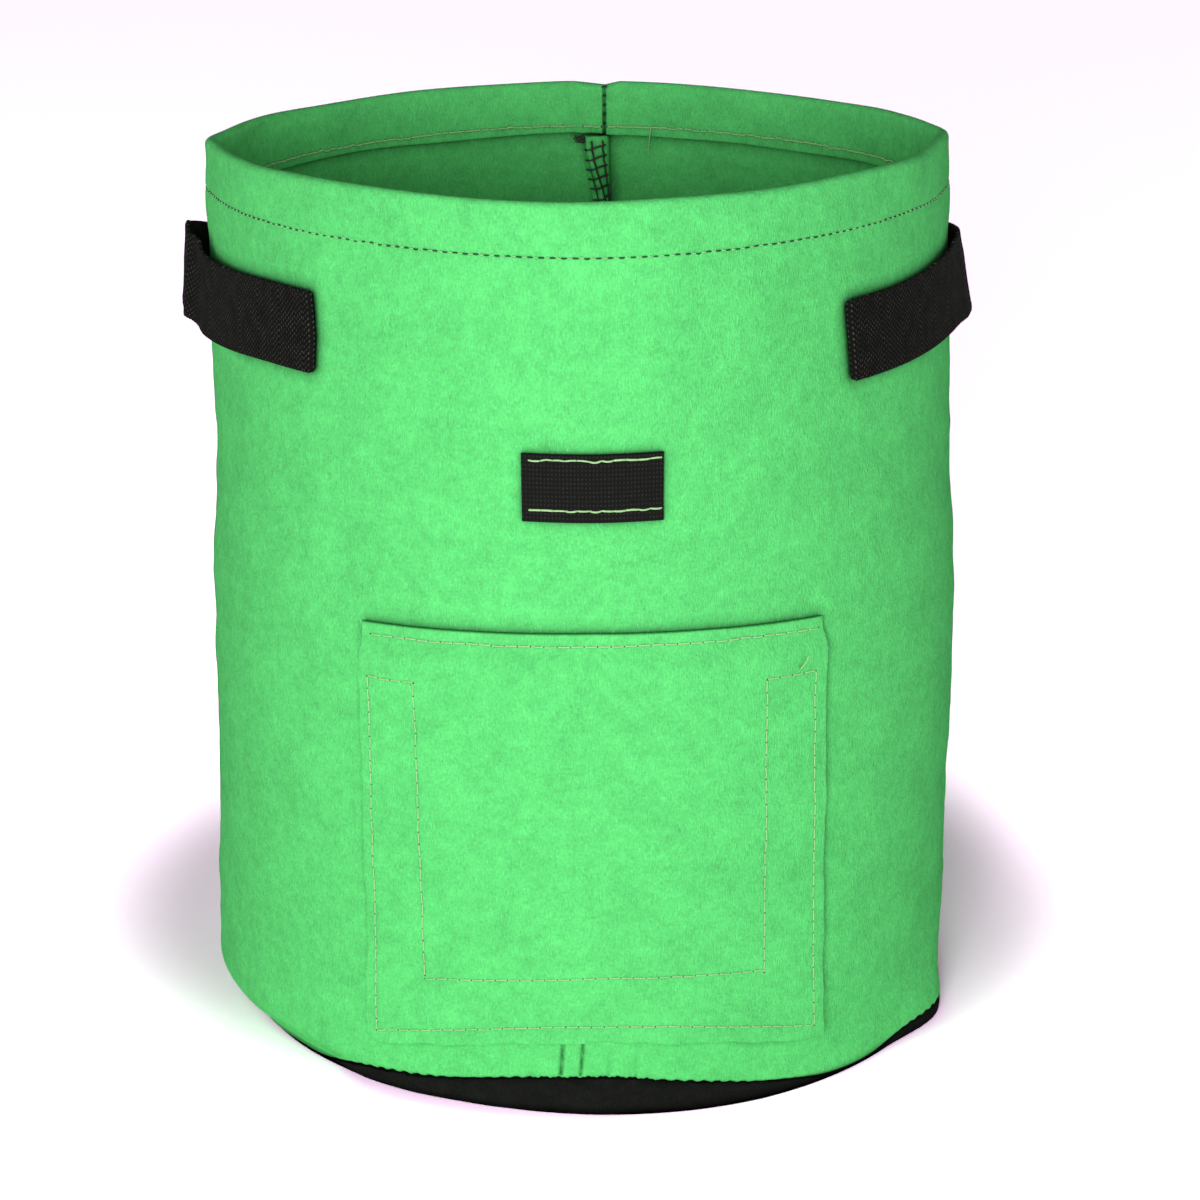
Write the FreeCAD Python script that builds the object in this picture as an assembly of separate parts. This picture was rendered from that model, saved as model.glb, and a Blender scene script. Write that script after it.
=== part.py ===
"""Fabric grow bag with a harvest window, a hook-and-loop flap and two webbing handles.

Millimetres, +Z up. The origin is the centre of the underside, where the bag stands.
The flap and its window face -Y. Angles are measured about Z from -Y towards +X.
"""

import FreeCAD, Part
import math
import os

Vector = FreeCAD.Vector

# Bag
bag_radius = 150.0  # outer face of the felt wall
bag_height = 350.0
wall_felt = 2.5
base_felt = 2.5
layer_gap = 0.3  # between two layers that lie on each other

# Hem at the rim: the felt is turned in and sewn down
hem_depth = 23.5
rim_bevel = 0.8

# Mouth as the empty bag stands: a lens, pinched at the handles and swelling to the back
mouth_half_width = 146.4
mouth_half_depth = 163.0
mouth_shift = 7.9
mouth_power = 1.7  # 2 is an ellipse, and less draws the ends to a point
swell_start = 192.0  # the wall is round up to here
swell_low = 230.0
swell_low_share = 0.43
swell_high = 270.0
swell_high_share = 0.72
section_points = 36
joining_tolerance = 0.002  # between the round and the swelling part of the wall

# Back seam: both edges of the wall's felt are turned in and sewn together
seam_angle = 174.6
seam_allowance = 11.0
seam_notch_depth = 1.8  # groove outside, where the felt turns in
seam_notch_width = 3.9

# Seam between wall and base, turned in all the way round
base_rise = 12.0
base_corner = 7.0
base_seam_allowance = 10.0
base_seam_bevel = 1.6

# Hook-and-loop tape
tape_width = 25.0
hook_tape = 1.2
loop_tape = 1.2
tape_clearance = 0.2
tape_edge_margin = 2.8  # from the flap's cut edge to the tape
window_margin = 3.5  # from the tape to the window's cut edge

# Flap
flap_width = 180.0
flap_bottom = 28.0
flap_hinge_height = 186.5
flap_sewn_margin = 5.5
flap_felt = 2.5
flap_top_gap = 0.3
side_tape_drop = 13.0  # from the hinge line to the side tapes

# Hook keeper that holds the flap open
keeper_width = 50.0
keeper_bottom = 234.8
keeper_tape = 1.6

# Handles
webbing_width = 30.0
webbing = 1.6
handle_turn = -1.2  # how far the pair is turned about Z from the flap's sides
handle_span = 258.0  # along the wall from cut end to cut end
handle_end_length = 30.0
handle_joint_gap = 0.3
left_handle_drop = 54.0  # from the rim to the middle of the webbing
right_handle_drop = 59.0
handle_gap = 6.9  # from the bag's radius to the webbing, at its middle

# Worked out from the sizes above
wall_inner = bag_radius - wall_felt
hem_thickness = 2 * wall_felt + layer_gap
hem_inner = bag_radius - hem_thickness
hem_edge_height = bag_height - hem_depth
flap_inner = bag_radius + loop_tape + tape_clearance + hook_tape
flap_half_angle = math.degrees(flap_width / 2 / flap_inner)
tape_outer_angle = math.degrees((flap_width / 2 - tape_edge_margin) / flap_inner)
tape_inner_angle = math.degrees((flap_width / 2 - tape_edge_margin - tape_width) / flap_inner)
side_tape_top = flap_hinge_height - side_tape_drop
bottom_tape_low = flap_bottom + tape_edge_margin
bottom_tape_high = bottom_tape_low + tape_width
window_half_angle = tape_inner_angle - math.degrees(window_margin / bag_radius)
window_low = bottom_tape_high + window_margin
window_high = side_tape_top + window_margin
keeper_half_angle = math.degrees(keeper_width / 2 / bag_radius)
handle_end_angle = math.degrees(handle_span / 2 / bag_radius)
left_handle_height = bag_height - left_handle_drop
right_handle_height = bag_height - right_handle_drop
left_side = handle_turn - 90
right_side = handle_turn + 90
swell_levels = [
    (swell_start, 0.0),
    (swell_low, swell_low_share),
    (swell_high, swell_high_share),
    (bag_height, 1.0),
]


def at(radius, angle, height):
    """Point at a radius and an angle from -Y towards +X."""
    turn = math.radians(angle)
    return Vector(radius * math.sin(turn), -radius * math.cos(turn), height)


def mouth_radius(angle):
    """Outer radius of the rim at an angle: a superellipse whose middle lies behind the axis."""
    low = mouth_half_width / 2
    high = mouth_half_depth + mouth_shift
    for _ in range(40):
        radius = (low + high) / 2
        point = at(radius, angle, 0)
        across = abs(point.x / mouth_half_width) ** mouth_power
        deep = abs((point.y - mouth_shift) / mouth_half_depth) ** mouth_power
        if across + deep < 1:
            low = radius
        else:
            high = radius
    return low


def wall_radius(angle, height):
    """Outer radius of the wall: round below, straight from level to level up to the rim."""
    share = 1.0 if height > bag_height else 0.0
    for (low, first), (high, last) in zip(swell_levels, swell_levels[1:]):
        if low < height <= high:
            share = first + (last - first) * (height - low) / (high - low)
    return bag_radius + share * (mouth_radius(angle) - bag_radius)


def section(depth, height):
    """Closed outline of the wall at a height, at a depth from its outer face."""
    points = []
    for step in range(section_points):
        angle = 90 + step * 360 / section_points
        points.append(at(wall_radius(angle, height) - depth, angle, height))
    curve = Part.BSplineCurve()
    curve.interpolate(Points=points, PeriodicFlag=True)
    return Part.Wire([curve.toShape()])


def between(low, high):
    """Heights from low to high with the levels where the wall's slope changes."""
    return [low] + [level for level, _ in swell_levels if low < level < high] + [high]


def core(steps):
    """Solid that fills the wall's outline through (depth, height) steps."""
    return Part.makeLoft([section(depth, height) for depth, height in steps], True, True)


def turned_ring(outline):
    """Solid of revolution about Z of a closed outline of edges in the XZ plane."""
    face = Part.Face(Part.Wire(outline))
    return face.revolve(Vector(0, 0, 0), Vector(0, 0, 1), 360)


def lines(points):
    """Straight edges through (radius, height) points."""
    places = [Vector(radius, 0, height) for radius, height in points]
    return [Part.LineSegment(a, b).toShape() for a, b in zip(places, places[1:])]


def band(inner, outer, low, high, first, last):
    """Part of a hoop: radii, heights and angles from first to last."""
    corners = [(inner, low), (outer, low), (outer, high), (inner, high), (inner, low)]
    wire = Part.makePolygon([at(radius, first, height) for radius, height in corners])
    return Part.Face(wire).revolve(Vector(0, 0, 0), Vector(0, 0, 1), last - first)


def seam_bar(outline, low, high):
    """Bar along the back seam whose outline is (side, depth from the outer face) corners."""
    wires = []
    for height in between(low, high):
        reach = wall_radius(seam_angle, height)
        corners = [Vector(side, depth - reach, height) for side, depth in outline]
        wires.append(Part.makePolygon(corners + corners[:1]))
    bar = Part.makeLoft(wires, True, True)
    bar.rotate(Vector(0, 0, 0), Vector(0, 0, 1), seam_angle)
    return bar


def lower_wall():
    """Round part of the wall, turned in at the base seam, with the harvest window cut in it."""
    bevel = base_seam_bevel
    flange_tip = bag_radius - base_seam_allowance
    ring = turned_ring(lines([
        (flange_tip, base_rise),
        (bag_radius - bevel, base_rise),
        (bag_radius, base_rise + bevel),
        (bag_radius, swell_start),
        (wall_inner, swell_start),
        (wall_inner, base_rise + wall_felt),
        (flange_tip, base_rise + wall_felt),
        (flange_tip, base_rise),
    ]))
    return ring.cut(band(
        wall_inner - 1, bag_radius + 1,
        window_low, window_high,
        -window_half_angle, window_half_angle,
    ))


def upper_wall():
    """Part of the wall that swells to the mouth, doubled at the hem."""
    fold = hem_thickness / 2
    shoulder = bag_height - fold
    lip = bag_height - rim_bevel
    slit = [hem_edge_height, bag_height - wall_felt]
    outer = [(0, level) for level in between(swell_start, shoulder)]
    outer += [(rim_bevel, lip), (fold - layer_gap, bag_height)]
    inner = [(wall_felt, level) for level in between(swell_start, hem_edge_height)]
    mouth = [(hem_thickness, hem_edge_height), (hem_thickness, shoulder)]
    mouth += [(hem_thickness - rim_bevel, lip), (fold + layer_gap, bag_height)]
    wide = core([(wall_felt, height) for height in slit])
    narrow = core([(wall_felt + layer_gap, height) for height in slit])
    return core(outer).cut(core(inner)).cut(core(mouth)).cut(wide.cut(narrow))


def wall_panel():
    """One sheet of felt, open at the back seam, where both edges are turned in."""
    half = layer_gap / 2
    side = half + wall_felt
    tip = wall_felt + seam_allowance
    root = wall_felt / 2
    edge = seam_notch_width / 2
    opening = seam_bar(
        [
            (-edge, -1), (edge, -1), (edge, 0), (half, seam_notch_depth), (half, tip + 1),
            (-half, tip + 1), (-half, seam_notch_depth), (-edge, 0),
        ],
        -1, bag_height + 1,
    )
    allowances = []
    for near, far in ((-side, -half), (half, side)):
        allowances.append(seam_bar(
            [(near, root), (far, root), (far, tip), (near, tip)],
            base_rise + root, hem_edge_height - layer_gap,
        ))
    sewn = lower_wall().fuse([upper_wall()], joining_tolerance)
    return sewn.cut(opening).fuse(allowances)


def base_panel():
    """Felt disc, turned up at its rim and turned in again under the wall's felt."""
    corner = base_corner
    bevel = base_seam_bevel
    flange_tip = bag_radius - base_seam_allowance
    inner = bag_radius - base_felt
    seam_under = base_rise - base_felt
    rise = corner * (1 - math.sin(math.radians(45)))
    return turned_ring(lines([
        (0, 0),
        (bag_radius - corner, 0),
        (bag_radius - rise, rise),
        (bag_radius, corner),
        (bag_radius, base_rise - bevel),
        (bag_radius - bevel, base_rise),
        (flange_tip, base_rise),
        (flange_tip, seam_under),
        (inner, seam_under),
        (inner, corner),
        (bag_radius - corner, base_felt),
        (0, base_felt),
        (0, 0),
    ]))


def patch(inner, outer, low, high, first, last):
    """Flat piece on the wall: distances from its outer face, heights, and angles."""
    wires = []
    for height in (low, high):
        arcs = []
        for depth in (inner, outer):
            points = []
            for step in range(7):
                angle = first + (last - first) * step / 6
                points.append(at(wall_radius(angle, height) + depth, angle, height))
            curve = Part.BSplineCurve()
            curve.interpolate(Points=points)
            arcs.append((curve.toShape(), points))
        (near, inside), (far, outside) = arcs
        first_end = Part.LineSegment(inside[0], outside[0]).toShape()
        last_end = Part.LineSegment(outside[-1], inside[-1]).toShape()
        wires.append(Part.Wire([first_end, far, last_end, near]))
    return Part.makeLoft(wires, True, True)


def hook_keeper():
    """Hook tape on the wall that grips the felt of the opened flap."""
    return patch(
        layer_gap, layer_gap + keeper_tape,
        keeper_bottom, keeper_bottom + tape_width,
        -keeper_half_angle, keeper_half_angle,
    )


def closure_tapes(inner, thickness):
    """Left, right and bottom tapes of one side of the closure."""
    outer = inner + thickness
    gap = math.degrees(layer_gap / inner)
    return {
        "left": band(
            inner, outer, bottom_tape_low, side_tape_top,
            -tape_outer_angle, -tape_inner_angle,
        ),
        "right": band(
            inner, outer, bottom_tape_low, side_tape_top,
            tape_inner_angle, tape_outer_angle,
        ),
        "bottom": band(
            inner, outer, bottom_tape_low, bottom_tape_high,
            gap - tape_inner_angle, tape_inner_angle - gap,
        ),
    }


def flap_sewn_edge():
    """Top margin of the flap's felt, sewn flat on the wall above the hinge line."""
    return band(
        bag_radius, bag_radius + flap_felt,
        flap_hinge_height, flap_hinge_height + flap_sewn_margin,
        -flap_half_angle, flap_half_angle,
    )


def flap_panel():
    """Felt flap that covers the window, curved as it lies on the bag."""
    return band(
        flap_inner, flap_inner + flap_felt,
        flap_bottom, flap_hinge_height - flap_top_gap,
        -flap_half_angle, flap_half_angle,
    )


def handle_end(height, middle_angle, side):
    """Folded webbing end, two layers thick, sewn flat on the wall."""
    length = math.degrees(handle_end_length / bag_radius)
    cut_end = middle_angle + side * handle_end_angle
    first, last = sorted((cut_end, cut_end - side * length))
    half = webbing_width / 2
    depths = (layer_gap, layer_gap + 2 * webbing)
    return patch(*depths, height - half, height + half, first, last)


def loop_outline(height, middle_angle):
    """Closed plan of the free webbing, bowing towards -Y past the wall."""
    open_angle = handle_end_angle - math.degrees(handle_end_length / bag_radius)
    turn = math.radians(open_angle)
    starts = {}
    for side in (-1, 1):
        starts[side] = wall_radius(middle_angle + side * open_angle, height) + webbing
    ends = []
    arcs = []
    for depth in (0, webbing):
        sides = []
        for side, start in starts.items():
            reach = start * math.sin(turn) - handle_joint_gap
            sides.append(Vector(side * reach, -start * math.cos(turn) - depth, height))
        middle = Vector(0, -bag_radius - handle_gap - depth, height)
        ends.append(sides)
        arcs.append(Part.Arc(sides[0], middle, sides[1]).toShape())
    left_end = Part.LineSegment(ends[0][0], ends[1][0]).toShape()
    right_end = Part.LineSegment(ends[1][1], ends[0][1]).toShape()
    return Part.Wire([left_end, arcs[1], right_end, arcs[0]])


def handle_loop(height, middle_angle):
    """Free webbing between two sewn ends, standing off the wall."""
    outline = loop_outline(height, middle_angle)
    outline.translate(Vector(0, 0, -webbing_width / 2))
    strap = Part.Face(outline).extrude(Vector(0, 0, webbing_width))
    strap.rotate(Vector(0, 0, 0), Vector(0, 0, 1), middle_angle)
    return strap


def handle(name, height, middle_angle, front):
    """The three pieces of one handle; front is the side on which its front end lies."""
    return {
        f"{name}_handle_front_end": handle_end(height, middle_angle, front),
        f"{name}_handle_rear_end": handle_end(height, middle_angle, -front),
        f"{name}_handle_loop": handle_loop(height, middle_angle),
    }


def all_parts():
    """Every piece of the bag by name."""
    parts = {
        "wall_panel": wall_panel(),
        "base_panel": base_panel(),
        "hook_keeper": hook_keeper(),
        "flap_sewn_edge": flap_sewn_edge(),
        "flap_panel": flap_panel(),
    }
    for place, tape in closure_tapes(bag_radius, loop_tape).items():
        parts[f"window_loop_tape_{place}"] = tape
    for place, tape in closure_tapes(flap_inner - hook_tape, hook_tape).items():
        parts[f"flap_hook_tape_{place}"] = tape
    parts.update(handle("left", left_handle_height, left_side, 1))
    parts.update(handle("right", right_handle_height, right_side, -1))
    return parts


def main():
    os.makedirs("parts", exist_ok=True)
    for name, shape in all_parts().items():
        shape.exportStep(f"parts/{name}.step")
        print(f"{name}: {len(shape.Solids)} solid, {shape.Volume:.1f} mm3, valid {shape.isValid()}")


main()
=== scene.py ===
"""Looks of the fabric grow bag: felt, webbing, hook and loop tape, and thread.

Sizes are millimetres until a mesh is made, and metres in Blender. Angles are degrees about
Z from -Y towards +X, as in the part's source.
"""

import math

import bpy
import numpy as np
from mathutils import Matrix, Vector


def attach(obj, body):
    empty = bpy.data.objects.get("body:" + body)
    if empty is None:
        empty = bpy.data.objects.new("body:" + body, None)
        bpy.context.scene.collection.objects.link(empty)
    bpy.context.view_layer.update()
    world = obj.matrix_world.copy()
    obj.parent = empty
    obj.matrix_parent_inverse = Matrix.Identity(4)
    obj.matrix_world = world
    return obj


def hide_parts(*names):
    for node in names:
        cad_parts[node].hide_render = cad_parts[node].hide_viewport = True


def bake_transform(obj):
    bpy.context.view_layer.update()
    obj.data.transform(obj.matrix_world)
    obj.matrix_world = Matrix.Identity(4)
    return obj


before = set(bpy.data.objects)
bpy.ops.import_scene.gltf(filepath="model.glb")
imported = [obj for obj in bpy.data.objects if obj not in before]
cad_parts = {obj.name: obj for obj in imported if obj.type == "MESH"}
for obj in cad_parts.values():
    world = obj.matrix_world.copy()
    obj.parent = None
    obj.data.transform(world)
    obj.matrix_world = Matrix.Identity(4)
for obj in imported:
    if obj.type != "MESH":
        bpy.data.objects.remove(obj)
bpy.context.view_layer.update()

MM = 0.001

# Bag
RADIUS = 150.0
HEIGHT = 350.0
FELT = 2.5
HEM_FELT = 5.3
HEM_EDGE = 326.5
HEM_ROW = 330.0
FOLD = HEM_FELT / 2
SEAM = 174.6
FIN_DEPTH = 11.0
FIN_BEND = 6.0

# Harvest window and flap
WINDOW = 22.2
WINDOW_LOW = 59.3
WINDOW_HIGH = 177.0
FLAP_RADIUS = 155.1
FLAP_HALF = 92.0
FLAP_LENGTH = 165.0
STAND_OFF = 2.6
TAPE = 1.2
TAPE_TOP = 173.5
TAPE_WIDTH = 25.0

# Handles
HANDLE_TURN = -1.2
HANDLE_END = 49.3
SEWN = 11.5
WEBBING = 1.5
WEBBING_WIDTH = 30.0
STRAP_OFFSET = 2.75
CREASE_SPOT = 20.0

# Hook keeper above the flap
KEEPER_ANGLE = -0.5
KEEPER_LOW = 235.6
KEEPER_WIDTH = 49.6
KEEPER_THICKNESS = 1.55


# Numbers and shapes

def smooth(low, high, value):
    t = np.clip((value - low) / (high - low), 0, 1)
    return t * t * (3 - 2 * t)


def bump(value, centre, width):
    return np.exp(-(((value - centre) / width) ** 2))


def from_angle(angle, centre):
    """Signed angle from centre, in degrees."""
    return (angle - centre + 180) % 360 - 180


def place(radius, angle, height):
    """Points in metres from a radius, an angle and a height."""
    radius, angle, height = np.broadcast_arrays(radius, np.radians(angle), height)
    points = np.stack([radius * np.sin(angle), -radius * np.cos(angle), height], -1)
    return points * MM


def uneven(angle, height, seed, turns=5, length=70.0):
    """Repeatable gentle unevenness between about -1 and 1, without a step at 180 degrees."""
    turn = np.radians(angle)
    total = 0
    for step in range(4):
        count = turns + 2 * step + seed % 3
        phase = 1.9 * step + 0.7 * seed
        wave = np.sin(height / length * (1 + 0.6 * step) * 2 * math.pi + phase * 1.3)
        total = total + np.sin(count * turn + phase + 1.4 * wave) / (1 + 0.5 * step)
    return total / 2.2


def rim_outline(angle):
    """Radius of the rim as it lies: a lens, pinched at the sides and open to the back."""
    across, deep, power, back = 146.4, 163.0, 1.7, 7.9
    turn = np.radians(angle)
    low = np.full(np.shape(angle), 80.0)
    high = np.full(np.shape(angle), 220.0)
    for _ in range(30):
        middle = (low + high) / 2
        reach = np.abs(middle * np.sin(turn) / across) ** power
        reach = reach + np.abs((-middle * np.cos(turn) - back) / deep) ** power
        low = np.where(reach < 1, middle, low)
        high = np.where(reach < 1, high, middle)
    return (low + high) / 2


RIM_ANGLES = np.arange(-180, 180.01, 0.5)
RIM_OFFSET = rim_outline(RIM_ANGLES) - RADIUS

# Height, and the wall's share of the rim's outline there
SWELL = np.array([(188, 0), (230, 0.43), (270, 0.72), (350, 1)])

# Height, and how far the left and the right side stand out there
SIDES = np.array([
    (0, 0.5, -1.5), (12, 4.5, -1.8), (57, 3.0, -0.7), (101, 1.0, -0.4), (145, 0.7, 0.8),
    (187, -0.2, -0.4), (228, -1.4, -0.6), (269, 0.3, -0.3), (350, -1.2, -2.9),
])


def wall_radius(angle, height):
    """Outer face of the felt wall, without its seams and creases."""
    angle = from_angle(angle, 0)
    rim = np.interp(angle, RIM_ANGLES, RIM_OFFSET)
    left = np.interp(height, SIDES[:, 0], SIDES[:, 1]) * bump(from_angle(angle, -86), 0, 34)
    right = np.interp(height, SIDES[:, 0], SIDES[:, 2]) * bump(from_angle(angle, 86), 0, 34)
    soft = 0.55 * uneven(angle, height, 1) + 0.22 * uneven(angle, height, 4, 17, 38.0)
    tucked = -2.2 * bump(angle, 0, 28) * (1 - smooth(0, 42, height))
    pushed = 6.5 * bump(angle, 65, 8) * (1 - smooth(0, 40, height))
    pushed = pushed - np.interp(angle, *UNDER.T) * (1 - smooth(1, 17, height))
    pushed = pushed + 2.1 * bump(np.abs(angle), 93, 5.5) * smooth(285, 345, height)
    share = sum(np.interp(height + shift, *SWELL.T) for shift in (-16, -8, 0, 8, 16)) / 5
    return RADIUS + rim * share + left + right + soft + tucked + pushed


def rim_height(angle):
    """Top of the folded rim."""
    gap = seam_gap(angle)
    dip = np.where(gap > 0, 1 - gap / 13, 1 + gap / 6)
    lying = 0.5 * uneven(angle, 0 * angle, 7, 4)
    return HEIGHT + lying - 1.6 * np.clip(dip, 0, 1) - 0.6


EDGE = np.array([
    (-180, 12), (-125, 11), (-105, 3), (-92, 0.7), (-50, 0.7), (-46, 2.0), (-42.5, 6.2), (-40, 8.4),
    (-33, 10.8), (-26, 11.8), (-14, 15.6), (-8, 16.8), (2, 17.2), (15, 11.8), (24.5, 7.0),
    (31.6, 3.9), (37.5, 1.5), (46, 1.0), (50, 2.4), (57, 5.6), (66, 6.4), (73, 5.0), (80, 4),
    (95, 8), (110, 11), (140, 12), (180, 12),
])

# Angle, and how far the green felt itself turns in before it meets the floor
UNDER = np.array([
    (-120, 0), (-100, 3), (-85, 5.5), (-70, 7.5), (-57, 9), (-46, 8.5), (-41, 5), (-35, 1.5), (-29, 0),
])

# Angle, and how far the base is rounded away under its side
TUCK = np.array([
    (-180, 7), (-110, 8), (-90, 9), (-60, 9), (-45, 9), (-41, 8.5), (-27, 9.3), (-14, 7.5),
    (0, 4.6), (15, 2.2), (25, 1.2), (60, 1.5), (75, 2.5), (85, 5), (100, 7), (180, 7),
])


def lower_edge(angle):
    """Height of the green felt's lower edge, above the black base."""
    angle = from_angle(angle, 0)
    total = 0
    for shift in (-3, -1.5, 0, 1.5, 3):
        total = total + np.interp(angle + shift, EDGE[:, 0], EDGE[:, 1]) / 5
    rough = 0.25 * np.sin(angle * 2.9) + 0.2 * np.sin(angle * 7.3 + 1)
    return total + rough * smooth(3, 6, total)


# Meshes

SHARP_ANGLE = 52


def piece(name, points, faces, cloth, corners=False):
    """Mesh object from points, faces and fabric coordinates, which its material reads."""
    mesh = bpy.data.meshes.new(name)
    mesh.from_pydata(np.asarray(points).reshape(-1, 3).tolist(), [], faces)
    mesh.update()
    mesh.shade_smooth()
    mesh.set_sharp_from_angle(angle=math.radians(SHARP_ANGLE))
    layer = mesh.attributes.new("cloth", "FLOAT_VECTOR", "CORNER" if corners else "POINT")
    layer.data.foreach_set("vector", np.asarray(cloth, np.float32).ravel())
    obj = bpy.data.objects.new(name, mesh)
    bpy.context.scene.collection.objects.link(obj)
    return obj


def finished(obj, material, body, slot, *nodes):
    """Gives a piece its material and body, and hides the CAD nodes that it stands for. slot is not
    used.
    """
    obj.data.materials.append(material)
    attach(obj, body)
    if nodes:
        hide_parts(*nodes)
    return obj


def join(parts):
    """Several (points, faces, cloth) sets as one."""
    points, faces, cloth = [], [], []
    count = 0
    for some_points, some_faces, some_cloth in parts:
        some_points = np.asarray(some_points).reshape(-1, 3)
        points.append(some_points)
        faces += [tuple(corner + count for corner in face) for face in some_faces]
        cloth.append(np.asarray(some_cloth).reshape(-1, 3))
        count += len(some_points)
    return np.concatenate(points), faces, np.concatenate(cloth)


def spread(low, high, step, edge=1.0):
    """Distances from low to high, closer together near both ends."""
    near = np.array([0, 0.08, 0.22, 0.42, 0.7, 1.0]) * edge
    count = max(2, int(round((high - low - 2 * edge) / step)) + 1)
    middle = np.linspace(low + edge, high - edge, count)
    return np.concatenate([low + near[:-1], middle, high - near[:-1][::-1]])


def sheet_mesh(surface, across, down, thickness, edge=1.0, ends=(True, True)):
    """Closed sheet about a middle surface, with rounded edges.

    surface(a, d) gives points in metres and unit normals for grids of distances. ends says
    whether the first and the last row are rounded, or cut square to meet another sheet.
    """
    a, d = np.meshgrid(across, down)
    middle, normal = surface(a, d)
    near = np.minimum(a - across[0], across[-1] - a)
    if ends[0]:
        near = np.minimum(near, d - down[0])
    if ends[1]:
        near = np.minimum(near, down[-1] - d)
    full = (1 - (1 - np.clip(near / edge, 0, 1)) ** 2.6) ** (1 / 2.6)
    half = (thickness / 2 * MM * full)[..., None] * normal
    rows, columns = a.shape
    front = np.arange(rows * columns).reshape(rows, columns)
    back = front + rows * columns
    rim = near <= 1e-9
    back[rim] = front[rim]
    points = np.concatenate([(middle + half).reshape(-1, 3), (middle - half).reshape(-1, 3)])
    cloth = np.stack([a * MM, -d * MM, 0 * a], -1).reshape(-1, 3)
    faces = []
    for i in range(rows - 1):
        for j in range(columns - 1):
            faces.append((front[i, j], front[i + 1, j], front[i + 1, j + 1], front[i, j + 1]))
            faces.append((back[i, j], back[i, j + 1], back[i + 1, j + 1], back[i + 1, j]))
    for square, i in ((not ends[0], 0), (not ends[1], rows - 1)):
        if square:
            for j in range(columns - 1):
                loop = [front[i, j], front[i, j + 1], back[i, j + 1], back[i, j]]
                loop = loop if i == 0 else loop[::-1]
                faces.append(tuple(dict.fromkeys(loop)))
    return tidy(points, faces, np.concatenate([cloth, cloth]))


def tidy(points, faces, cloth):
    """Leaves out points that no face uses."""
    used = np.unique(np.concatenate([np.array(face) for face in faces]))
    new = np.full(len(points), -1)
    new[used] = np.arange(len(used))
    faces = [tuple(int(new[corner]) for corner in face) for face in faces]
    return points[used], faces, cloth[used]


def tube(points, radius, sides=6):
    """Points, faces and fabric coordinates of a thin tube along points in metres."""
    points = np.asarray(points, float)
    along = np.gradient(points, axis=0)
    along /= np.linalg.norm(along, axis=1)[:, None] + 1e-12
    helper = np.array([0.31, 0.22, 0.925])
    if abs(along[0] @ helper) > 0.9:
        helper = np.array([0.925, 0.31, 0.22])
    first = np.cross(along, helper)
    first /= np.linalg.norm(first, axis=1)[:, None] + 1e-12
    second = np.cross(along, first)
    radius = np.broadcast_to(radius, len(points))
    turn = np.arange(sides) * 2 * math.pi / sides
    cosine, sine = np.cos(turn)[None, :, None], np.sin(turn)[None, :, None]
    ring = cosine * first[:, None] + sine * second[:, None]
    shell = points[:, None] + ring * (radius * MM)[:, None, None]
    length = np.concatenate([[0], np.cumsum(np.linalg.norm(np.diff(points, axis=0), axis=1))])
    cloth = np.zeros((len(points), sides, 3))
    cloth[..., 0] = length[:, None]
    cloth[..., 1] = turn[None, :] * radius.mean() * MM
    faces = []
    for i in range(len(points) - 1):
        for j in range(sides):
            k = (j + 1) % sides
            faces.append((i * sides + j, i * sides + k, (i + 1) * sides + k, (i + 1) * sides + j))
    faces.append(tuple(range(sides))[::-1])
    faces.append(tuple((len(points) - 1) * sides + j for j in range(sides)))
    return shell.reshape(-1, 3), faces, cloth.reshape(-1, 3)


def dot(point, normal, radius, proud):
    """Small domed mark on a surface, such as a needle hole."""
    helper = np.array([0, 0, 1.0]) if abs(normal[2]) < 0.8 else np.array([1.0, 0, 0])
    first = np.cross(normal, helper)
    first /= np.linalg.norm(first)
    second = np.cross(normal, first)
    sides = 7
    turn = np.arange(sides) * 2 * math.pi / sides
    ring = point + radius * MM * (np.cos(turn)[:, None] * first + np.sin(turn)[:, None] * second)
    points = np.concatenate([ring - normal * 0.3 * MM, ring + normal * proud * 0.5 * MM,
                             [point + normal * proud * MM]])
    faces = []
    for j in range(sides):
        k = (j + 1) % sides
        faces.append((j, k, sides + k, sides + j))
        faces.append((sides + j, sides + k, 2 * sides))
    faces.append(tuple(range(sides))[::-1])
    return points, faces, np.zeros((2 * sides + 1, 3))


def resample(points, normals, pitch):
    """Evenly spaced points along a path, with their normals."""
    length = np.concatenate([[0], np.cumsum(np.linalg.norm(np.diff(points, axis=0), axis=1))])
    count = max(1, int(round(length[-1] / (pitch * MM))))
    where = np.linspace(0, length[-1], count + 1)
    out = [np.stack([np.interp(where, length, some[:, k]) for k in range(3)], -1)
           for some in (points, normals)]
    out[1] /= np.linalg.norm(out[1], axis=1)[:, None]
    return out


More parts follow.
